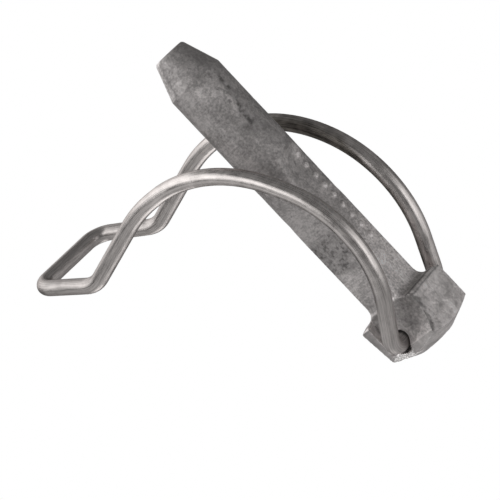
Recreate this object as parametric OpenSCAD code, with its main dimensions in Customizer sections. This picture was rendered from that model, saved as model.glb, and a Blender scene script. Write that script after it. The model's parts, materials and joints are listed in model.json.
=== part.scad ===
// Wire-lock hitch pin: a forged pin with a square head, and a sprung wire bail that swings over its point.
// Frame: the origin is the centre of the flat on the head's end, +Z runs up the shank to the point,
// and the bail's hinge lies along Y. The bail is drawn half open, leaning towards -X.

/* [Shank] */
// Diameter of the round shank
shank_d = 16; // [15.6:0.1:17]
// Length from the shoulder to the start of the pointed end
shank_len = 75.2; // [70:0.2:80]
// Length of the pointed end
cone_len = 9.9; // [6:0.1:12]
// Diameter of the blunt point
tip_d = 9; // [6:0.5:10]
// Width across the four flats on the lower shank
flat_w = 11.8; // [11.4:0.1:13]
// Height above the shoulder at which the two flats facing along X run out
long_flat_len = 48; // [42:1:56]
// Height above the shoulder at which the two flats facing along Y run out
short_flat_len = 38; // [30:1:44]
// Radius of the curve in which a flat runs out into the round shank
runout_r = 12; // [6:1:20]
// Radius of the hollow fillet between shank and shoulder
root_r = 2.5; // [1:0.1:2.6]

/* [Head] */
// Width across the flats of the square head
head_w = 19.05; // [18.6:0.05:20]
// Height of the head
head_h = 14.6; // [14:0.1:15]
// Radius on the four upright edges of the head
head_edge_r = 0.4; // [0.3:0.1:1.6]
// Diameter of the flat on the end of the head
end_flat_d = 11; // [10:0.5:14]
// Height of the turned chamfer, measured at the corners of the head
chamfer_h = 3.4; // [2:0.1:3.5]
// Forging draft on the head's face at -X, in degrees
back_draft = 7.5; // [0:0.5:8]
// Width of the bevel along the head's upper edges, seen from above
bevel_w = 0.8; // [0.4:0.1:0.9]
// Height of the same bevel
bevel_h = 0.8; // [0.5:0.1:1.4]
// Slope of the turned top of the head's corners, in degrees
corner_slope = 15; // [10:1:32]

/* [Recess for the bail] */
// Depth of the hollow in each hinge face
recess_depth = 3.1; // [2.4:0.1:3.2]
// Radius of the hollow
recess_r = 14.5; // [14:0.5:22]
// Distance of the deepest line of the hollow below the shoulder
recess_drop = 1.6; // [1.2:0.1:3.5]
// Distance that the hollow runs past the middle of the head, away from its open side
recess_reach = 6.4; // [6:0.1:7.4]

/* [Hinge] */
// Diameter of the cross hole that holds both ends of the bail
hole_d = 5.4; // [5.3:0.05:5.5]
// Depth of the countersink at each mouth of the cross hole
hole_chamfer = 0.5; // [0.5:0.1:0.8]
// Offset of the bail's axis from the middle of the head, towards -X
hinge_offset = 2.2; // [2:0.1:2.8]
// Distance of the bail's axis below the shoulder
hinge_drop = 8.5; // [8.2:0.1:8.6]

/* [Bail] */
// Diameter of the spring wire
wire_d = 4.5; // [4:0.1:4.6]
// Distance of each wire end from the middle of the cross hole
end_gap = 2.5; // [0.5:0.5:4]
// Distance of the arm on the -Y side from the middle of the pin, at the hinge
front_hinge_half = 12.9; // [12.7:0.1:13.5]
// Distance of the arm on the +Y side from the middle of the pin, at the hinge
back_hinge_half = 13.4; // [12.7:0.1:13.5]
// Half the distance between the two arms at the step before the closed end
step_half = 16.1; // [15.6:0.1:18]
// Half the width of the closed end
closed_half = 14.9; // [14.5:0.1:16]
// Centre-line radius of the bend that turns each arm into the hole
hinge_bend_r = 4.2; // [4:0.1:4.3]
// Centre-line radius of the step bend
step_bend_r = 9; // [6:0.5:12]
// Centre-line radius of the two corners of the closed end
closed_bend_r = 5; // [4:0.5:7]

/* [Hidden] */
$fn = 72;
e = 0.01;
far = 40;

shank_r = shank_d / 2;
// The forged lower shank tapers by this much on radius, from the top of the long flats to the shoulder
shank_draft = 0.1;
flat_half = flat_w / 2;
flat_depth = shank_r - flat_half;
runout_len = sqrt(pow(runout_r, 2) - pow(runout_r - flat_depth, 2));
head_half = head_w / 2;
tip_edge = 0.5;
// A bend comes out this much thinner than the straight wire, and each straight laps this far into it
bend_thinning = 0.02;
lap = 0.05;

// Below, points are measured from the centre of the shoulder, which lies head_h above the origin.
// A point of the bail in side view is [x, z].
hinge = [-hinge_offset, -hinge_drop];
// The sprung wire lies against one side of its larger hole, so the hole's middle is a little off the axis
hole = hinge + [0.3, -0.1];
step_corner = [-61.3, 54.4];
closed_corner = [-79.8, 64.2];

// The bends of each arm: the corner where the straight runs would meet, and the centre-line radius.
// The two arms were bent one after the other and differ a little.
front_bends = [[[22.1, 20.2], 32], [[-2.9, 59.4], 39.3], [[-31.3, 61.1], 45.5]];
back_bends = [[[3.6, -2], 14], [[18.9, 25], 35], [[-3.5, 60], 38.6], [[-31.3, 61.1], 45.5]];

// Distance of an arm from the middle at a point in side view: it grows evenly from the hinge to the step
function spread(p, hinge_half) = hinge_half + (step_half - hinge_half)
    * ((p - hinge) * (step_corner - hinge)) / pow(norm(step_corner - hinge), 2);
function reversed(list) = [for (i = [len(list) - 1:-1:0]) list[i]];
function unit(v) = v / norm(v);

// Corners of one arm from its end in the hole to the closed end, on the side of the pin given by sign
function arm_path(bends, side, hinge_half) = [
    for (c = concat(
        [[hinge, end_gap], [hinge, hinge_half]],
        [for (b = bends) [b[0], spread(b[0], hinge_half)]],
        [[step_corner, step_half], [closed_corner, closed_half]]
    )) [c[0][0], side * c[1], c[0][1]]
];
function arm_radii(bends) = concat([0, hinge_bend_r], [for (b = bends) b[1]], [step_bend_r, closed_bend_r]);

path = concat(
    arm_path(front_bends, -1, front_hinge_half),
    reversed(arm_path(back_bends, 1, back_hinge_half))
);
radii = concat(arm_radii(front_bends), reversed(arm_radii(back_bends)));
last = len(path) - 1;

function run(i) = unit(path[i + 1] - path[i]);
function turn(i) = acos(run(i - 1) * run(i));
function trim(i) = (i == 0 || i == last) ? 0 : radii[i] * tan(turn(i) / 2);

// ---------- forged pin ----------

// Round shank and point; below the long flats the forged part tapers slightly towards the head
module shank_blank() {
    tip_z = shank_len + cone_len;
    rotate_extrude()
        polygon([
            [0, -e], [shank_r - shank_draft, -e], [shank_r, long_flat_len], [shank_r, shank_len],
            [tip_d / 2 + tip_edge / 2, tip_z - tip_edge], [tip_d / 2 - tip_edge / 2, tip_z], [0, tip_z]
        ]);
}

// Removes one flat on the +X side, up to a height where it curves out to the round shank
module flat_cutter(height) {
    rotate([90, 0, 0])
        linear_extrude(height = far, center = true) {
            translate([flat_half, -1]) square([2 * flat_depth, height - runout_len + 1]);
            translate([flat_half + runout_r, height - runout_len]) circle(r = runout_r);
        }
}

// Hollow fillet round the square lower shank, with mitred corners that follow the round shank
module root_fillet() {
    foot = flat_half + root_r;
    intersection() {
        difference() {
            translate([-foot, -foot, -e]) cube([2 * foot, 2 * foot, root_r + e]);
            for (a = [0:90:270])
                rotate([0, 0, a]) translate([foot, 0, root_r]) rotate([90, 0, 0])
                    cylinder(r = root_r, h = far, center = true);
        }
        rotate_extrude()
            difference() {
                translate([0, -e]) square([shank_r + root_r, root_r + e]);
                translate([shank_r + root_r, root_r]) circle(r = root_r);
            }
    }
}

module shank() {
    difference() {
        shank_blank();
        for (a = [0, 180]) rotate([0, 0, a]) flat_cutter(long_flat_len);
        for (a = [90, 270]) rotate([0, 0, a]) flat_cutter(short_flat_len);
    }
    root_fillet();
}

// Square with rounded corners
module rounded_square(w, r) {
    inner = w - 2 * r;
    square([w, inner], center = true);
    square([inner, w], center = true);
    for (x = [-1, 1], y = [-1, 1]) translate([x * inner / 2, y * inner / 2]) circle(r = r);
}

// Square head with a drafted back face and bevelled upper edges. Both ends of its corners are turned:
// the lower end to a wide cone round the end flat, the upper end to a slope outside the fillet.
module head_blank() {
    end_r = end_flat_d / 2;
    widening = (head_half * sqrt(2) - end_r) / chamfer_h;
    top_r = shank_r + root_r;
    difference() {
        translate([0, 0, -head_h])
            intersection() {
                linear_extrude(height = head_h) rounded_square(head_w, head_edge_r);
                cylinder(r1 = end_r, r2 = end_r + head_h * widening, h = head_h);
                cylinder(r1 = top_r + head_h / tan(corner_slope), r2 = top_r, h = head_h);
            }
        for (a = [0:90:270])
            rotate([0, 0, a]) translate([head_half - bevel_w, 0, 0]) rotate([0, atan2(bevel_h, bevel_w), 0])
                translate([0, -far / 2, 0]) cube(far);
        translate([-head_half, 0, 0]) rotate([0, -back_draft, 0])
            translate([-far, -far / 2, -far / 2]) cube(far);
    }
}

// Hollow in the -Y face, round the hole's mouth and open at the +X side, that leaves room for the bail's bend
module recess_cutter() {
    translate([-recess_reach, -(head_half - recess_depth + recess_r), -recess_drop])
        rotate([0, 90, 0]) cylinder(r = recess_r, h = far, $fn = 180);
}

// Cross hole for the bail, with a countersink where it comes out of each side of the head
module hinge_hole() {
    translate([hole[0], 0, hole[1]]) rotate([90, 0, 0]) {
        cylinder(d = hole_d, h = far, center = true);
        for (side = [0, 180])
            rotate([side, 0, 0]) translate([0, 0, head_half - hole_chamfer])
                cylinder(d1 = hole_d, d2 = hole_d + 4 * hole_chamfer, h = 2 * hole_chamfer);
    }
}

module forged_pin() {
    color("dimgray") translate([0, 0, head_h])
        difference() {
            union() {
                shank();
                head_blank();
            }
            for (a = [0, 180]) rotate([0, 0, a]) recess_cutter();
            hinge_hole();
        }
}

// ---------- wire bail ----------

// Straight run of wire from bend i to bend i + 1
module straight(i) {
    u = run(i);
    start_lap = (i == 0) ? 0 : lap;
    end_lap = (i + 1 == last) ? 0 : lap;
    start = path[i] + u * (trim(i) - start_lap);
    length = norm(path[i + 1] - path[i]) - trim(i) - trim(i + 1) + start_lap + end_lap;
    translate(start) rotate([0, acos(u[2]), atan2(u[1], u[0])]) cylinder(d = wire_d, h = length);
}

// Arc of wire at bend i, in the plane of the two straight runs that it joins
module bend(i) {
    along = run(i - 1);
    inward = unit(run(i) - along * (along * run(i)));
    normal = cross(-inward, along);
    centre = path[i] - along * trim(i) + inward * radii[i];
    multmatrix([
        [-inward[0], along[0], normal[0], centre[0]],
        [-inward[1], along[1], normal[1], centre[1]],
        [-inward[2], along[2], normal[2], centre[2]],
        [0, 0, 0, 1]
    ])
        rotate_extrude(angle = turn(i)) translate([radii[i], 0]) circle(d = wire_d - bend_thinning);
}

module wire_bail() {
    color("darkgray") translate([0, 0, head_h]) {
        for (i = [0:last - 1]) straight(i);
        for (i = [1:last - 1]) bend(i);
    }
}

forged_pin();
wire_bail();
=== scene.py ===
"""Wire-lock hitch pin: a forged pin with a square head, and the sprung wire bail hinged in it.

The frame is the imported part's: +Z runs up the shank to the point, and Y is the bail's hinge.
The object is worked out in millimetres, and its meshes are made in metres. In the functions
that shape or mark a surface, p holds its points in millimetres, one [x, y, z] in each row, and
n holds their outward normals.
"""

import json
import math

import bpy
import numpy as np
from mathutils import Matrix, Vector

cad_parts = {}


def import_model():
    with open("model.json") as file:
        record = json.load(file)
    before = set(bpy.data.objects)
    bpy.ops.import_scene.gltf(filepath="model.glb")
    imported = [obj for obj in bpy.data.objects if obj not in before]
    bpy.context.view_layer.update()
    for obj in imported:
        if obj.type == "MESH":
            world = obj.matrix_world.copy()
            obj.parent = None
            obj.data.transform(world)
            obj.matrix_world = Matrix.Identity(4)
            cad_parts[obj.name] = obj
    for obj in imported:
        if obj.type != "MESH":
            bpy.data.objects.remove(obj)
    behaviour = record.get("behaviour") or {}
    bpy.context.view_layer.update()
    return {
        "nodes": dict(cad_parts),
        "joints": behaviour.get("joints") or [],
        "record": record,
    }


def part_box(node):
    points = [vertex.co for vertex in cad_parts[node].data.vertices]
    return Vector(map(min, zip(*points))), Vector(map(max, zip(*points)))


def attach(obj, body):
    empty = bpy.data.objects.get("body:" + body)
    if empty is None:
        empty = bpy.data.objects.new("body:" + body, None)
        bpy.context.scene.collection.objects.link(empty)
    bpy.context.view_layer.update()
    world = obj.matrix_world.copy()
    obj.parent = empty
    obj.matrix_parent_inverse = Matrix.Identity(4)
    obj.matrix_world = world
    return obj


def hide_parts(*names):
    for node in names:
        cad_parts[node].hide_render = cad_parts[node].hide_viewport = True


MM = 0.001
PIN, BAIL = "forged_pin", "wire_bail"

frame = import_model()


# ---------- sizes read off the frame, in millimetres ----------

def mount(name):
    return next(m for m in frame["record"]["mounts"] if m["name"] == name)


SHOULDER_Z = mount("shoulder")["pos_m"][2] / MM
CONE_Z = mount("shank")["pos_m"][2] / MM + mount("shank")["dims"]["length_mm"] / 2
HINGE = np.array(frame["joints"][0]["pos_m"]) / MM
HEAD_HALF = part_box(PIN)[1].x / MM


# ---------- noise and masks ----------

# Large odd numbers that scramble a lattice point's place, and masks of 32 and 16 bits
SCRAMBLE_X, SCRAMBLE_Y, SCRAMBLE_Z, SCRAMBLE_SEED = 374761393, 668265263, 1442695041, 1274126177
BITS_32, BITS_16 = 0xFFFFFFFF, 0xFFFF
LAYER_SEED_STEP = 17


def lattice_value(ix, iy, iz, seed):
    """A repeatable number from -1 to 1 for each whole-numbered lattice point."""
    mixed = (ix * SCRAMBLE_X + iy * SCRAMBLE_Y + iz * SCRAMBLE_Z + seed * SCRAMBLE_SEED) & BITS_32
    mixed = ((mixed ^ (mixed >> 13)) * SCRAMBLE_SEED) & BITS_32
    return ((mixed ^ (mixed >> 16)) & BITS_16) / (BITS_16 / 2) - 1


def noise(points, size, seed):
    """Smooth value noise from -1 to 1, with bumps about size apart."""
    place = points / size
    cell = np.floor(place).astype(np.int64)
    share = place - cell
    share = share * share * (3 - 2 * share)
    total = np.zeros(len(points))
    for corner in np.ndindex(2, 2, 2):
        weight = np.prod(np.where(corner, share, 1 - share), axis=1)
        total += weight * lattice_value(*(cell + corner).T, seed)
    return total


def bumps(points, size, seed):
    """The same noise from 0 to 1."""
    return 0.5 + 0.5 * noise(points, size, seed)


def fractal(points, size, seed, octaves=3):
    """Noise with finer and weaker layers on top."""
    return sum(noise(points, size / 2**k, seed + LAYER_SEED_STEP * k) / 2**k for k in range(octaves))


def smoothstep(value, low, high):
    """0 at low and beyond it, 1 at high and beyond it, and smooth between; low may be the larger."""
    t = np.clip((value - low) / (high - low), 0, 1)
    return t * t * (3 - 2 * t)


def band(value, low, high, soft):
    """1 between low and high, fading to 0 over soft on each side."""
    return smoothstep(value, low - soft, low) * (1 - smoothstep(value, high, high + soft))


# ---------- meshes ----------

def new_object(name, mesh):
    obj = bpy.data.objects.new(name, mesh)
    bpy.context.scene.collection.objects.link(obj)
    return obj


def apply_modifiers(obj):
    """Bakes the object's modifiers into its mesh."""
    bpy.context.view_layer.update()
    graph = bpy.context.evaluated_depsgraph_get()
    mesh = bpy.data.meshes.new_from_object(obj.evaluated_get(graph))
    obj.modifiers.clear()
    obj.data = mesh


def read_vectors(items, name):
    values = np.zeros(len(items) * 3, np.float32)
    items.foreach_get(name, values)
    return values.reshape(-1, 3).astype(float)


def add_attribute(mesh, name, values):
    """Stores one number or one vector for each vertex, for the materials to read."""
    kind, field = ("FLOAT", "value") if values.ndim == 1 else ("FLOAT_VECTOR", "vector")
    made = mesh.attributes.new(name, kind, "POINT")
    made.data.foreach_set(field, values.astype(np.float32).ravel())


def stand_for(piece, node):
    """Makes the piece replace the CAD node and move with its body."""
    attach(piece, node)
    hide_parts(node)


# ---------- forged pin ----------

SKIN_VOXEL = 0.22
# Heights above the shoulder: where the flats run out, and the row of pips on the +X flat
RUNOUT_FROM, RUNOUT_TO = 32, 49
PIPS_FROM, PIP_STEP, PIP_COUNT = 16.8, 3.4, 9
PIP_Y, PIP_R, PIP_HEIGHT = 2.6, 0.95, 0.36
# Distance from the shank's axis to the foot of the fillet on each side of the shank
FILLET_FOOT = 8.4
# Radius of the hole for the bail
HOLE_R = 2.7
# The hollow in the head's -Y side: its depth and radius, and how far below the shoulder it is deepest
RECESS_DEPTH, RECESS_R, RECESS_DROP = 3.1, 14.5, 1.6
# The knocked patch along the head's end: its ends and middle in x, and its top in z
BARE_FROM, BARE_TO, BARE_MIDDLE, BARE_TOP = -9.6, -0.5, -5, 4.2
# The vein's bearing at one distance below the cone, and the degrees that it turns per millimetre down
VEIN_BEARING, VEIN_BELOW, VEIN_TURN = -5, 3, 1.45
# Depths of what forging and use leave in the skin, and the height of the lip that they push up
WAVE, GRAIN, PIT, FOLD, TEAR, CREASE = 0.05, 0.016, 0.03, 0.09, 0.45, 0.3
LIP = 0.3


def above_shoulder(p):
    return p[:, 2] - SHOULDER_Z


def above_cone_foot(p):
    return p[:, 2] - CONE_Z


def bearing(p):
    """Degrees round the shank's axis, 0 at +X and 90 at +Y, from -180 to 180."""
    return np.degrees(np.arctan2(p[:, 1], p[:, 0]))


def off_axis(p):
    """Distance from the shank's axis, measured square to the nearest side of the head."""
    return np.maximum(abs(p[:, 0]), abs(p[:, 1]))


def head_share(p):
    """1 on the head and 0 on the shank."""
    return 1 - smoothstep(above_shoulder(p), -0.5, 0.5)


def cone_share(p, soft=0.2):
    """1 on the cone and 0 on the shank, changing over soft below the cone."""
    return smoothstep(above_cone_foot(p), -soft, 0)


def pitted_area(p):
    """The rougher patch on the lower part of the shank, on the -Y side."""
    ragged = 3.0 * noise(p, 4.0, 5)
    return band(above_shoulder(p) + ragged, 15, 23, 3) * smoothstep(-p[:, 1], 3, 5)


def skin_depth(p):
    """How deep the forged skin lies below the exact shape at each point."""
    wave = WAVE * (0.5 + 0.35 * fractal(p, 5.0, 1))
    grain = GRAIN * bumps(p, 0.8, 2)
    rougher = 1 + 4 * pitted_area(p) + head_share(p)
    pits = PIT * rougher * smoothstep(noise(p, 1.3, 3), 0.45, 0.9)
    wrinkle = abs(noise(p, 3.2, 31) + 0.5 * noise(p, 1.4, 32))
    folds = FOLD * head_share(p) * smoothstep(wrinkle, 0.16, 0)
    forged = (1 - 0.7 * cone_share(p)) * (wave + grain + pits + folds)
    torn = TEAR * bare_edge(p) * bumps(p, 0.8, 39)
    return forged + CREASE * crease(p, 0.5) + torn


def pip_height(p, n):
    """Plain raised pips in a row on the +X flat, one every PIP_STEP."""
    along = (above_shoulder(p) - PIPS_FROM) / PIP_STEP
    nearest = np.clip(np.round(along), 0, PIP_COUNT - 1)
    away = np.hypot((along - nearest) * PIP_STEP, p[:, 1] - PIP_Y)
    return PIP_HEIGHT * smoothstep(away, PIP_R, PIP_R * 0.7) * smoothstep(n[:, 0], 0.7, 0.9)


def lip_height(p):
    """Metal pushed up in a ragged lip where the hollow's end meets the +X face under the shoulder."""
    below = 0.4 * noise(p, 1.2, 33) - above_shoulder(p)
    corner = band(p[:, 1], -8.6, -6.4, 0.5) * band(p[:, 0], 7.6, 9.6, 0.6)
    return LIP * corner * band(below, 0.1, 1.1, 0.4)


def crease(p, width):
    """1 along the line where the fillet meets the shoulder, fading out over width."""
    away = np.hypot(off_axis(p) - FILLET_FOOT, above_shoulder(p)) + 0.15 * noise(p, 1.5, 37)
    return smoothstep(away, width, width * 0.3)


def fillet_shade(p):
    """Painted shade that thickens down the fillet to its foot."""
    height = above_shoulder(p)
    down = smoothstep(height, 1.9, 0.3) * smoothstep(height, -0.2, 0.1)
    return 0.55 * down * smoothstep(off_axis(p), FILLET_FOOT + 0.3, FILLET_FOOT)


def bevel_edge(p):
    """A thin line of painted shade under the bevel along the head's upper edges."""
    below = 0.12 * noise(p, 1.5, 53) - above_shoulder(p)
    outside = smoothstep(off_axis(p), HEAD_HALF - 0.5, HEAD_HALF - 0.25)
    return 0.8 * band(below, 0.95, 1.15, 0.25) * outside


def in_recess(p, n):
    """The smooth wall of the hollow in the head's -Y side."""
    set_back = smoothstep(HEAD_HALF + p[:, 1], 0.1, 0.5) * smoothstep(-p[:, 1], 5, 6)
    return set_back * smoothstep(-n[:, 1], 0.6, 0.8) * head_share(p) * smoothstep(p[:, 0], -7, -6)


def recess_rim(p, n):
    """A ragged strip of painted shade on the +X face next to the hollow."""
    drop = np.clip(above_shoulder(p) + RECESS_DROP, -RECESS_R, RECESS_R)
    rim_y = np.sqrt(RECESS_R**2 - drop**2) - (HEAD_HALF - RECESS_DEPTH + RECESS_R)
    past = p[:, 1] - rim_y + 0.8 * fractal(p, 1.3, 38)
    on_face = smoothstep(n[:, 0], 0.4, 0.8) * head_share(p)
    return band(past, 0, 0.9, 0.9) * on_face * (0.7 + 0.3 * noise(p, 0.9, 40))


def stain_and_cone_shade(p):
    """Dark marks of oil: a streak down the upper shank and the pitted patch, and painted shade over one
    side of the cone.
    """
    ragged = bearing(p) + 7 * noise(p * [0, 0, 1], 6.0, 8) + 5 * noise(p, 2.0, 9)
    height = above_cone_foot(p)
    streak = 0.45 * band(ragged, -30, 0, 10) * band(-height, 5, 32, 6)
    # Painted shade over one side of the cone
    cone = 0.9 * smoothstep(ragged + 2.5 * height, -52, -30) * cone_share(p, 3.5)
    return np.clip(streak + cone + 0.6 * pitted_area(p), 0, 1)


def oil_and_hole_shade(p):
    """Black marks: a broken vein of oil down the upper shank and specks on the pitted patch, with painted
    shade inside the hinge hole.
    """
    below = -above_cone_foot(p)
    off_vein = bearing(p) - VEIN_BEARING + VEIN_TURN * (below - VEIN_BELOW) + 8 * noise(p, 1.4, 54)
    patchy = smoothstep(noise(p, 0.8, 55), -0.8, 0.5)
    vein = 0.8 * band(off_vein, -2, 2, 11) * band(below, 4, 17, 3) * patchy
    speckle = noise(p, 0.6, 56) + 0.7 * noise(p, 2.6, 57)
    specks = 0.65 * pitted_area(p) * smoothstep(speckle, 0, 0.7)
    # Painted shade inside the hinge hole
    from_hinge = np.hypot(p[:, 0] - HINGE[0], p[:, 2] - HINGE[2])
    inside = smoothstep(abs(p[:, 1]), HEAD_HALF - 0.5, HEAD_HALF - 1.2)
    hole = inside * smoothstep(from_hinge, HOLE_R + 0.45, HOLE_R + 0.15)
    return np.maximum(np.maximum(vein, specks), hole)


def wear_and_painted_light(p):
    """From 1 to -1: lighter near the head where handling wore the skin and on part of the +X flat, darker
    round the waist, and painted light and shade by side: lit on one side of the cone, and shaded on its
    other side, higher up on the -Y side and from +X round to +Y, and on the head's -X half.
    """
    height = above_shoulder(p) + 2.5 * noise(p, 7.0, 51)
    side, cone = bearing(p), cone_share(p)
    light = smoothstep(height, 26, 9) * (0.75 + 0.25 * smoothstep(p[:, 0], 2, 5))
    bright_flat = 0.6 * band(height, 20, 42, 8) * smoothstep(p[:, 0], 6.2, 6.8)
    # Painted light on one side of the cone, and painted shade on its other side, on the sides higher up
    # and on the head's -X half
    lit_cone = 0.9 * band(side, -135, -108, 18) * cone
    dull_waist = 0.5 * band(height, 36, 58, 9)
    shaded_front = 1.2 * band(side, -130, -92, 24) * smoothstep(height, 50, 60) * (1 - cone)
    shaded_right = 0.7 * band(side, -5, 100, 23) * smoothstep(height, 45, 55)
    shaded_cone = 0.8 * band(side, -88, -68, 14) * cone
    shaded_head = 0.5 * head_share(p) * smoothstep(p[:, 0], 0, -4)
    total = light + bright_flat + lit_cone
    total -= dull_waist + shaded_front + shaded_right + shaded_cone + shaded_head
    return np.clip(total + 0.3 * fractal(p, 3.0, 52), -1, 1)


def bare_edge(p):
    """Bare metal where the end's chamfer was knocked, below the hinge hole; the material paints it near
    white as a painted glint.
    """
    ragged = 0.7 * noise(p, 1.1, 35) + 0.3 * noise(p, 0.5, 36)
    along = band(p[:, 0] + ragged, BARE_FROM, BARE_TO, 1.2)
    top = BARE_TOP - 0.2 * abs(p[:, 0] - BARE_MIDDLE)
    return along * smoothstep(-p[:, 1], 5.5, 7.0) * smoothstep(p[:, 2] + ragged, top + 0.5, top)


def add_pin_marks(mesh, p, n):
    """Stores where each kind of mark lies on the pin, for its material."""
    # Painted shade along the crease at the fillet's foot, down the fillet, under the bevel and along the
    # hollow's rim
    shade = crease(p, 0.8) + fillet_shade(p) + bevel_edge(p) + 1.2 * recess_rim(p, n)
    recess = in_recess(p, n)
    under = head_share(p) * smoothstep(-n[:, 2], 0.2, 0.6)
    front = smoothstep(-n[:, 1], 0.85, 0.97)
    marks = {
        "stain_and_cone_shade": stain_and_cone_shade(p),
        "oil_and_hole_shade": oil_and_hole_shade(p),
        "bare": bare_edge(p),
        "painted_shade": np.clip(shade, 0, 1),
        "scaly": head_share(p) * (1 - 0.8 * recess),
        # Painted shade on the faces turned to -Y, in the hollow and under the head, and painted light on
        # the pips
        "wear_and_painted_light": wear_and_painted_light(p) - 1.2 * front - 0.9 * recess - under + 3 * pip_height(p, n),
        "hatched": front * smoothstep(above_shoulder(p), 3, 6),
        "turned": cone_share(p, 0.3),
    }
    for name, values in marks.items():
        add_attribute(mesh, name, values)


def wear(pin):
    """Rounds every edge a little, and the ends of the flats a lot."""
    p = read_vectors(pin.data.vertices, "co") / MM
    ends = band(above_shoulder(p), RUNOUT_FROM, RUNOUT_TO, 3)
    group = pin.vertex_groups.new(name="flat_ends")
    levels = (0.25, 0.5, 0.75, 1.0)
    for level in levels:
        group.add(np.nonzero(ends > level - levels[0] / 2)[0].tolist(), level, "REPLACE")
    fewer = 1
    for name, passes, only in (("worn", 2, ""), ("flat_ends", 60, group.name)):
        smooth = pin.modifiers.new(name, "SMOOTH")
        smooth.factor = 0.5
        smooth.iterations = max(2, passes // fewer)
        smooth.vertex_group = only
    apply_modifiers(pin)


def forged_pin():
    """The CAD pin as one fine, even mesh with its edges worn round and its skin uneven."""
    pin = new_object("forged_pin_skin", frame["nodes"][PIN].data.copy())
    pin.data.materials.clear()
    remesh = pin.modifiers.new("even", "REMESH")
    remesh.mode = "VOXEL"
    remesh.voxel_size = SKIN_VOXEL * MM
    apply_modifiers(pin)
    wear(pin)
    mesh = pin.data
    p = read_vectors(mesh.vertices, "co") / MM
    n = read_vectors(mesh.vertices, "normal")
    add_pin_marks(mesh, p, n)
    p += n * (pip_height(p, n) + lip_height(p) - skin_depth(p))[:, None]
    mesh.vertices.foreach_set("co", (p * MM).astype(np.float32).ravel())
    mesh.update()
    mesh.shade_smooth()
    mesh.materials.append(forged_steel())
    stand_for(pin, PIN)


# ---------- wire bail ----------

WIRE_R, END_CHAMFER = 2.25, 0.4
# Distance from the middle to the wire's ends in the hole, to each arm outside it, and further along
END_HALF, FRONT_HINGE_HALF, BACK_HINGE_HALF = 2.5, 12.9, 13.4
STEP_HALF, CLOSED_HALF = 16.1, 14.9
HINGE_BEND_R, STEP_BEND_R, CLOSED_BEND_R = 4.2, 9, 5
# Corners in side view [x, z] measured from the centre of the shoulder, each with its bend's radius
FRONT_BENDS = (((22.1, 20.2), 32), ((-2.9, 59.4), 39.3), ((-31.3, 61.1), 45.5))
BACK_BENDS = (((3.6, -2), 14), ((18.9, 25), 35), ((-3.5, 60), 38.6), ((-31.3, 61.1), 45.5))
STEP_CORNER = np.array((-61.3, 54.4))
CLOSED_CORNER = np.array((-79.8, 64.2))
SIDE_HINGE = HINGE[[0, 2]] - [0, SHOULDER_Z]
# The point in side view that the inner sides of the arms face
ARM_MIDDLE = (-12, 22)
# Depths of the lengthwise marks that drawing leaves, and of small dents
DRAW_MARK, DENT = 0.02, 0.012
# Scales along the wire that stretch noise into lengthwise marks and streaks
MARK_SHRINK, STREAK_SHRINK = 0.04, 0.03


def unit(vector):
    return vector / np.linalg.norm(vector)


def spread(corner, hinge_half):
    """An arm's distance from the middle, which grows evenly from the hinge to the step."""
    reach = STEP_CORNER - SIDE_HINGE
    share = np.dot(np.array(corner) - SIDE_HINGE, reach) / np.dot(reach, reach)
    return hinge_half + (STEP_HALF - hinge_half) * share


def arm(bends, side, hinge_half):
    """(corner, bend radius) pairs of one arm, from its end in the hole to the closed end."""
    corners = [(SIDE_HINGE, END_HALF, 0), (SIDE_HINGE, hinge_half, HINGE_BEND_R)]
    corners += [(corner, spread(corner, hinge_half), r) for corner, r in bends]
    corners += [(STEP_CORNER, STEP_HALF, STEP_BEND_R), (CLOSED_CORNER, CLOSED_HALF, CLOSED_BEND_R)]
    return [(np.array((c[0], side * half, c[1] + SHOULDER_Z)), r) for c, half, r in corners]


def bend(before, corner, after, r, step):
    """Points round the arc of radius r that joins the two straight runs meeting at the corner."""
    into, out = unit(corner - before), unit(after - corner)
    turn = math.acos(np.dot(into, out))
    inward = unit(out - into * np.dot(into, out))
    centre = corner - into * r * math.tan(turn / 2) + inward * r
    pieces = max(2, round(turn * r / step))
    angles = [turn * k / pieces for k in range(pieces + 1)]
    return [centre - inward * r * math.cos(a) + into * r * math.sin(a) for a in angles]


def centre_line(corners, step):
    """Points about step apart along the wire: straight runs joined by arcs that touch them."""
    points = [corners[0][0]]
    for (before, _), (corner, r), (after, _) in zip(corners, corners[1:], corners[2:]):
        points += bend(before, corner, after, r, step)
    points.append(corners[-1][0])
    line = [points[0]]
    for a, b in zip(points, points[1:]):
        pieces = max(1, round(np.linalg.norm(b - a) / step))
        line += [a + (b - a) * (k + 1) / pieces for k in range(pieces)]
    return np.array(line)


def ring_axes(line):
    """Two directions square to the wire at each point, turned as little as possible along it."""
    tangent = np.gradient(line, axis=0)
    tangent /= np.linalg.norm(tangent, axis=1)[:, None]
    across = [np.array((1.0, 0, 0))]
    for t in tangent[1:]:
        across.append(unit(across[-1] - t * np.dot(across[-1], t)))
    return np.array(across), np.cross(tangent, across)


def tube_faces(rings, sides):
    """The faces between neighbouring rings of points, and a cap on each end."""
    faces = []
    for here in range(0, (rings - 1) * sides, sides):
        there = here + sides
        for j in range(sides):
            k = (j + 1) % sides
            faces.append((here + j, here + k, there + k, there + j))
    last = (rings - 1) * sides
    return faces + [tuple(range(sides))[::-1], tuple(range(last, last + sides))]


def oil_film_and_shade(p, n):
    """A dark oil film and painted shade on the back arm behind the shank: on its inner side low down, all
    round above.
    """
    middle = np.array(ARM_MIDDLE) + [0, SHOULDER_Z]
    inward = middle - p[:, [0, 2]]
    inward /= np.linalg.norm(inward, axis=1)[:, None]
    facing = n[:, 0] * inward[:, 0] + n[:, 2] * inward[:, 1] + 0.15 * noise(p, 3.0, 41)
    facing += 1.2 * smoothstep(above_shoulder(p), 22, 46)
    return smoothstep(facing, -0.1, 0.5) * smoothstep(p[:, 1], 5, 9) * smoothstep(p[:, 0], -12, 0)


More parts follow.
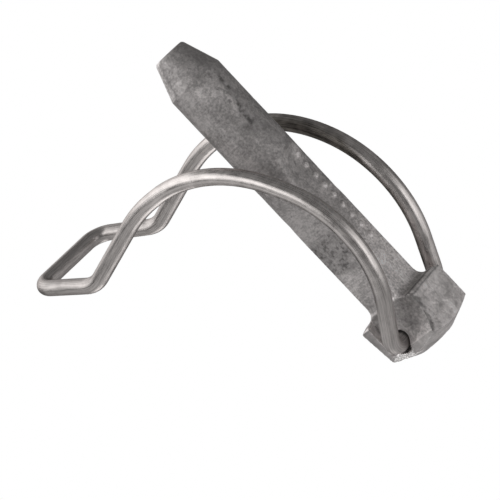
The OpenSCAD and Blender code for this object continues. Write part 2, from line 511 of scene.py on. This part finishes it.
def matte(p):
    """Where the wire has lost its shine: by the head on the front arm, and a little at the closed end."""
    height = above_shoulder(p) + 3 * noise(p, 5.0, 42)
    near_head = smoothstep(height, 9, -3) * smoothstep(-p[:, 1], 5, 9)
    closed_end = 0.25 * smoothstep(-p[:, 0], 12, 45)
    return np.maximum(near_head, closed_end)


def wire_bail():
    """Round wire swept along the bail's centre line, with fine drawing marks along it."""
    step, sides = ((0.5, 40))
    front = arm(FRONT_BENDS, -1, FRONT_HINGE_HALF)
    back = arm(BACK_BENDS, 1, BACK_HINGE_HALF)
    line = centre_line(front + back[::-1], step)
    rings = len(line)
    across, other = ring_axes(line)
    angle = np.arange(sides) * 2 * math.pi / sides
    circle = np.stack([np.cos(angle), np.sin(angle)], axis=1)
    spoke = circle[None, :, :1] * across[:, None] + circle[None, :, 1:] * other[:, None]
    # Each point's place on the wire as if it were straight, so that marks can run along it
    along = np.concatenate([[0], np.cumsum(np.linalg.norm(np.diff(line, axis=0), axis=1))])
    wrap = np.column_stack([np.tile(WIRE_R * circle, (rings, 1)), np.repeat(along, sides)])
    depth = DRAW_MARK * bumps(wrap * [1, 1, MARK_SHRINK], 0.5, 21) + DENT * bumps(wrap, 1.5, 22)
    radius = WIRE_R - depth.reshape(rings, sides)
    radius[[0, -1]] -= END_CHAMFER
    p = (line[:, None] + spoke * radius[:, :, None]).reshape(-1, 3)
    mesh = bpy.data.meshes.new("wire_bail_drawn")
    mesh.from_pydata(p * MM, [], tube_faces(rings, sides))
    mesh.update()
    mesh.shade_smooth()
    add_attribute(mesh, "wrap", wrap * MM)
    add_attribute(mesh, "oil_film_and_shade", oil_film_and_shade(p, spoke.reshape(-1, 3)))
    add_attribute(mesh, "matte", matte(p))
    mesh.materials.append(spring_wire())
    stand_for(new_object("wire_bail_drawn", mesh), BAIL)


# ---------- materials, in which lengths are in metres ----------

class Nodes:
    """Builds a node tree: each call adds one node and gives back one of its outputs."""

    def __init__(self, tree):
        self.tree = tree

    def feed(self, node, inputs):
        """Links or sets inputs of a node, each given by its name or its number."""
        for key, value in inputs.items():
            if isinstance(value, bpy.types.NodeSocket):
                self.tree.links.new(value, node.inputs[key])
            else:
                node.inputs[key].default_value = value

    def add(self, kind, inputs=None, output=0, **settings):
        made = self.tree.nodes.new(kind)
        for key, value in settings.items():
            setattr(made, key, value)
        self.feed(made, inputs or {})
        return made.outputs[output]

    def math(self, operation, a, b=0.0, clamp=False):
        return self.add("ShaderNodeMath", {0: a, 1: b}, operation=operation, use_clamp=clamp)

    def plus(self, a, b, clamp=False):
        return self.math("ADD", a, b, clamp)

    def minus(self, a, b):
        return self.math("SUBTRACT", a, b)

    def times(self, a, b):
        return self.math("MULTIPLY", a, b)

    def larger(self, a, b):
        return self.math("MAXIMUM", a, b)

    def scaled(self, vector, by):
        return self.add("ShaderNodeVectorMath", {0: vector, 1: by}, operation="MULTIPLY")

    def ramp(self, value, low, high, out_low=0.0, out_high=1.0):
        """Goes smoothly from out_low to out_high as the value goes from low to high."""
        inputs = {"Value": value, "From Min": low, "From Max": high}
        inputs |= {"To Min": out_low, "To Max": out_high}
        return self.add("ShaderNodeMapRange", inputs, interpolation_type="SMOOTHSTEP")

    def noise(self, vector, scale, detail, rough, distortion=0.0):
        """Noise with scale bumps to the metre and as many finer layers as detail says."""
        inputs = {"Vector": vector, "Scale": scale, "Detail": detail}
        inputs |= {"Roughness": rough, "Distortion": distortion}
        return self.add("ShaderNodeTexNoise", inputs, "Fac")

    def attribute(self, name, output="Fac"):
        return self.add("ShaderNodeAttribute", output=output, attribute_name=name)

    def mix(self, factor, a, b):
        """Colour a where factor is 0, turning into colour b where it is 1."""
        return self.add("ShaderNodeMix", {0: factor, 6: a, 7: b}, 2, data_type="RGBA")

    def bump(self, height, distance):
        return self.add("ShaderNodeBump", {"Height": height, "Strength": 0.4, "Distance": distance})


def material(name):
    """A new material, its node builder and its main shader."""
    mat = bpy.data.materials.new(name)
    mat.use_nodes = True
    return mat, Nodes(mat.node_tree), mat.node_tree.nodes["Principled BSDF"]


def grey(value, warm=0.055, yellow=0.015):
    """A grey with a little more red by the share warm and a little less blue by the share yellow."""
    return (value * (1 + warm), value, value * (1 - yellow), 1)


# The grime colour and the oil colour also serve as painted shade: in the creases, along the edges, on one
# side of the cone and inside the hinge hole
SKIN_DARK, SKIN_LIGHT, GRIME_AND_SHADE, OIL_AND_SHADE = grey(0.38), grey(0.82), grey(0.26), grey(0.07)
# Near-white bare metal: a painted glint over the knocked patch
BARE_METAL_GLINT = grey(0.97, 0.03)
WIRE_DARK, WIRE_LIGHT = grey(0.42, 0.065, 0.03), grey(0.82, 0.065, 0.03)
DULL_DARK, DULL_LIGHT = grey(0.22, 0.065, 0.03), grey(0.50, 0.065, 0.03)
# Colours of the oil film on the back arm, which is also painted shade there
OIL_FILM_SHADE_DARK, OIL_FILM_SHADE_LIGHT = grey(0.03, 0.1, 0.1), grey(0.26, 0.1, 0.12)


def skin_colour(nodes, place, speckle):
    """Clean forged skin: clouded and speckled, lightly hatched towards -Y, and made lighter and darker by
    wear and by painted light and shade.
    """
    cloud = nodes.noise(place, 220, 4, 0.6)
    hatching = nodes.noise(nodes.scaled(place, (0.12, 0.12, 1.0)), 2600, 2, 0.5)
    hatch = nodes.times(hatching, nodes.attribute("hatched"))
    smoother_head = nodes.ramp(nodes.attribute("scaly"), 0, 1, 1.0, 0.35)
    fine = nodes.times(nodes.ramp(speckle, 0.3, 0.7, -0.36, 0.36), smoother_head)
    tone = nodes.plus(nodes.ramp(cloud, 0.3, 0.7, 0.2, 0.8), fine)
    tone = nodes.plus(tone, nodes.ramp(hatch, 0.35, 0.65, 0.0, 0.35))
    # Brightness from wear and from painted light and shade
    brightness = nodes.ramp(nodes.attribute("wear_and_painted_light"), -1, 1, 0.68, 1.38)
    return nodes.scaled(nodes.mix(tone, SKIN_DARK, SKIN_LIGHT), brightness)


def dark_marks(nodes, place, blot, swirl):
    """How dark the skin is: stains and their spots, pepper, fine veins and folds, and painted shade along
    the creases, the fillet, the bevel edge, the hollow's rim and one side of the cone.
    """
    stain_and_shade, scaly = nodes.attribute("stain_and_cone_shade"), nodes.attribute("scaly")
    spots = nodes.times(nodes.ramp(blot, 0.50, 0.64), nodes.ramp(stain_and_shade, 0.0, 0.6, 0.25, 1.0))
    spots = nodes.times(spots, nodes.ramp(nodes.attribute("turned"), 0, 1, 1.0, 0.3))
    pepper = nodes.ramp(nodes.noise(place, 2300, 2, 0.6), 0.60, 0.70, 0.0, 0.45)
    off_vein = nodes.math("ABSOLUTE", nodes.minus(nodes.noise(place, 330, 3, 0.6), 0.5))
    vein = nodes.ramp(off_vein, 0.02, 0.0, 0.0, 0.35)
    fine = nodes.times(nodes.larger(pepper, vein), nodes.ramp(scaly, 0, 1, 1.0, 0.35))
    fold = nodes.times(nodes.ramp(swirl, 0.50, 0.36, 0.0, 0.3), scaly)
    dark = nodes.plus(nodes.times(spots, 0.6), nodes.times(stain_and_shade, 0.5))
    dark = nodes.plus(dark, fine)
    return nodes.plus(dark, nodes.plus(fold, nodes.times(nodes.attribute("painted_shade"), 0.85)), clamp=True)


def skin_bump(nodes, place, speckle, blot, swirl):
    """Grain everywhere, turning rings on the cone, folds on the head and dents in the bare patch."""
    wave = {"Vector": place, "Scale": 380.0, "Distortion": 0.6, "Detail": 2.0}
    rings = nodes.add("ShaderNodeTexWave", wave, "Fac", bands_direction="Z")
    height = nodes.plus(nodes.times(speckle, 0.5), nodes.times(blot, 0.6))
    local = ((rings, "turned", 0.2), (swirl, "scaly", 1.5), (speckle, "bare", 5.0))
    for texture, where, strength in local:
        height = nodes.plus(height, nodes.times(texture, nodes.times(nodes.attribute(where), strength)))
    return nodes.bump(height, 0.2 * MM)


def forged_steel():
    """Mid-grey forged skin under dark marks, oil and painted shade, with bare metal painted near white as
    a glint where the end was knocked.
    """
    mat, nodes, shader = material("forged_steel")
    place = nodes.add("ShaderNodeTexCoord", output="Object")
    bare, oil_and_shade = nodes.attribute("bare"), nodes.attribute("oil_and_hole_shade")
    speckle = nodes.noise(place, 1500, 3, 0.6)
    blot = nodes.noise(place, 600, 3, 0.6)
    swirl = nodes.noise(place, 240, 4, 0.55, distortion=2.0)
    colour = skin_colour(nodes, place, speckle)
    # Stains, veins, folds and painted shade, all in one dark colour
    colour = nodes.mix(dark_marks(nodes, place, blot, swirl), colour, GRIME_AND_SHADE)
    broken = nodes.ramp(nodes.plus(speckle, nodes.times(oil_and_shade, 0.25)), 0.5, 0.7, 0.25, 1.0)
    # Black oil marks, and the painted shade inside the hinge hole
    colour = nodes.mix(nodes.times(oil_and_shade, broken), colour, OIL_AND_SHADE)
    smoother = nodes.larger(nodes.times(nodes.attribute("turned"), 0.03), nodes.times(bare, 0.3))
    nodes.feed(shader, {
        # The knocked patch is painted near white as a glint
        "Base Color": nodes.mix(bare, colour, BARE_METAL_GLINT),
        "Metallic": nodes.ramp(bare, 0, 1, 0.5, 0.8),
        "Specular Tint": nodes.mix(bare, grey(0.5), BARE_METAL_GLINT),
        "Roughness": nodes.minus(nodes.ramp(blot, 0.3, 0.7, 0.45, 0.6), smoother),
        "Normal": skin_bump(nodes, place, speckle, blot, swirl),
    })
    return mat


def spring_wire():
    """Satin drawn wire with streaks along it, dulled near the head, and with an oil film and painted
    shade on the back arm.
    """
    mat, nodes, shader = material("spring_wire")
    wrap, dullness = nodes.attribute("wrap", "Vector"), nodes.attribute("matte")
    streak = nodes.noise(nodes.scaled(wrap, (1.0, 1.0, STREAK_SHRINK)), 3600, 3, 0.65)
    blot = nodes.noise(wrap, 350, 4, 0.6)
    grain = nodes.noise(wrap, 2500, 2, 0.6)
    tone = nodes.plus(nodes.ramp(streak, 0.3, 0.7, 0.0, 0.5), nodes.ramp(blot, 0.3, 0.7, 0.0, 0.5))
    dulled = nodes.times(nodes.ramp(dullness, 0, 0.25, 0.0, 0.8), nodes.ramp(blot, 0.35, 0.65, 0.3, 0.9))
    # The oil film and painted shade on the back arm
    oil_and_shade = nodes.times(nodes.attribute("oil_film_and_shade"), nodes.ramp(streak, 0.3, 0.7, 1.0, 0.85))
    colour = nodes.mix(tone, WIRE_DARK, WIRE_LIGHT)
    colour = nodes.mix(dulled, colour, nodes.mix(nodes.ramp(streak, 0.35, 0.65), DULL_DARK, DULL_LIGHT))
    colour = nodes.mix(oil_and_shade, colour, nodes.mix(tone, OIL_FILM_SHADE_DARK, OIL_FILM_SHADE_LIGHT))
    rough = nodes.plus(nodes.ramp(streak, 0.3, 0.7, 0.20, 0.32), nodes.ramp(blot, 0.3, 0.7, 0.0, 0.08))
    rougher = nodes.larger(nodes.times(dullness, 0.18), nodes.times(oil_and_shade, 0.2))
    height = nodes.plus(nodes.times(streak, 0.6), nodes.times(grain, 0.2))
    nodes.feed(shader, {
        "Base Color": colour,
        "Metallic": nodes.ramp(dullness, 0, 1, 1.0, 0.55),
        "Specular Tint": grey(0.6),
        "Roughness": nodes.plus(rough, rougher),
        "Normal": nodes.bump(height, 0.1 * MM),
    })
    return mat


# ---------- camera, light and floor ----------

# The camera looks at a point beside the shank from a long way off, and is rolled to the left
AIM = Vector((-13.8, -13.3, SHOULDER_Z + 34.6)) * MM
VIEW_AZIMUTH = math.radians(43.956)
VIEW_ELEVATION = math.radians(2.418)
VIEW_ROLL = math.radians(-43.27)
VIEW_DISTANCE = 711.6 * MM
VIEW_LENS, SENSOR_WIDTH = 201.6, 36
NEAREST, FARTHEST = 0.01, 100

VIEW_BACK = Vector((
    math.sin(VIEW_AZIMUTH) * math.cos(VIEW_ELEVATION),
    -math.cos(VIEW_AZIMUTH) * math.cos(VIEW_ELEVATION),
    math.sin(VIEW_ELEVATION),
))
VIEW_AXES = VIEW_BACK.to_track_quat("Z", "Y").to_matrix() @ Matrix.Rotation(VIEW_ROLL, 3, "Z")


def camera():
    """The photograph's view."""
    data = bpy.data.cameras.new("camera")
    data.lens, data.sensor_width = VIEW_LENS, SENSOR_WIDTH
    data.clip_start, data.clip_end = NEAREST, FARTHEST
    cam = new_object("camera", data)
    cam.matrix_world = Matrix.Translation(AIM + VIEW_BACK * VIEW_DISTANCE) @ VIEW_AXES.to_4x4()
    bpy.context.scene.camera = cam


# Soft lights round the object: direction as seen by the camera (right, up, towards it), where the
# light is full and where it ends in degrees from its middle, and its strength
LIGHTS = (
    ((-0.80, -0.18, 0.57), 13, 29, 1.6),
    ((-0.98, 0.12, 0.17), 12, 30, 1.6),
    ((-0.88, 0.36, -0.31), 12, 32, 1.5),
    ((-0.61, 0.35, -0.71), 10, 35, 1.1),
    ((0.67, 0.0, 0.74), 6, 24, 1.6),
    ((0.92, 0.20, 0.34), 12, 36, 0.85),
    ((0.0, -1.0, 0.0), 20, 70, 0.45),
    ((0.69, -0.70, 0.0), 15, 50, 0.4),
    ((0.80, -0.20, -0.50), 20, 60, 0.35),
    ((0.14, -0.83, -0.54), 8, 20, 1.9),
    ((-0.62, -0.78, -0.10), 8, 26, 0.6),
)
AMBIENT = 0.17
WHITE = (1, 1, 1, 1)


def world():
    """A white background to the camera, and the soft lights to everything else."""
    made = bpy.data.worlds.new("studio")
    bpy.context.scene.world = made
    made.use_nodes = True
    nodes = Nodes(made.node_tree)
    ray = nodes.add("ShaderNodeTexCoord", output="Generated")
    glow = AMBIENT
    for direction, full, end, strength in LIGHTS:
        aim = (VIEW_AXES @ Vector(direction)).normalized()
        facing = nodes.add("ShaderNodeVectorMath", {0: ray, 1: aim}, "Value", operation="DOT_PRODUCT")
        light = nodes.ramp(facing, math.cos(math.radians(end)), math.cos(math.radians(full)), 0, strength)
        glow = nodes.larger(light, glow)
    seen = nodes.add("ShaderNodeLightPath", output="Is Camera Ray")
    shown = nodes.add("ShaderNodeMix", {0: seen, 2: glow, 3: 1.0}, data_type="FLOAT")
    nodes.feed(made.node_tree.nodes["Background"], {"Color": WHITE, "Strength": shown})


# Half the floor's side, in metres
FLOOR_HALF = 40.0


def floor():
    """A pale glowing table: plain to look at, clear to the lights, and below the bail in every pose."""
    low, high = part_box(BAIL)
    reach = math.hypot(HINGE[0] - low.x / MM, high.z / MM - HINGE[2])
    r, z = FLOOR_HALF, (HINGE[2] - reach) * MM
    mesh = bpy.data.meshes.new("floor")
    mesh.from_pydata([(-r, -r, z), (r, -r, z), (r, r, z), (-r, r, z)], [], [(0, 1, 2, 3)])
    mat, nodes, shader = material("floor")
    mat.node_tree.nodes.remove(shader)
    seen = nodes.add("ShaderNodeLightPath", output="Is Camera Ray")
    clear = nodes.add("ShaderNodeBsdfTransparent")
    pale = nodes.add("ShaderNodeEmission", {"Strength": 1.0})
    look = nodes.add("ShaderNodeMixShader", {0: seen, 1: clear, 2: pale})
    nodes.feed(mat.node_tree.nodes["Material Output"], {"Surface": look})
    mesh.materials.append(mat)
    new_object("floor", mesh)


forged_pin()
wire_bail()
camera()
world()
floor()
bpy.context.scene.view_settings.view_transform = "Standard"
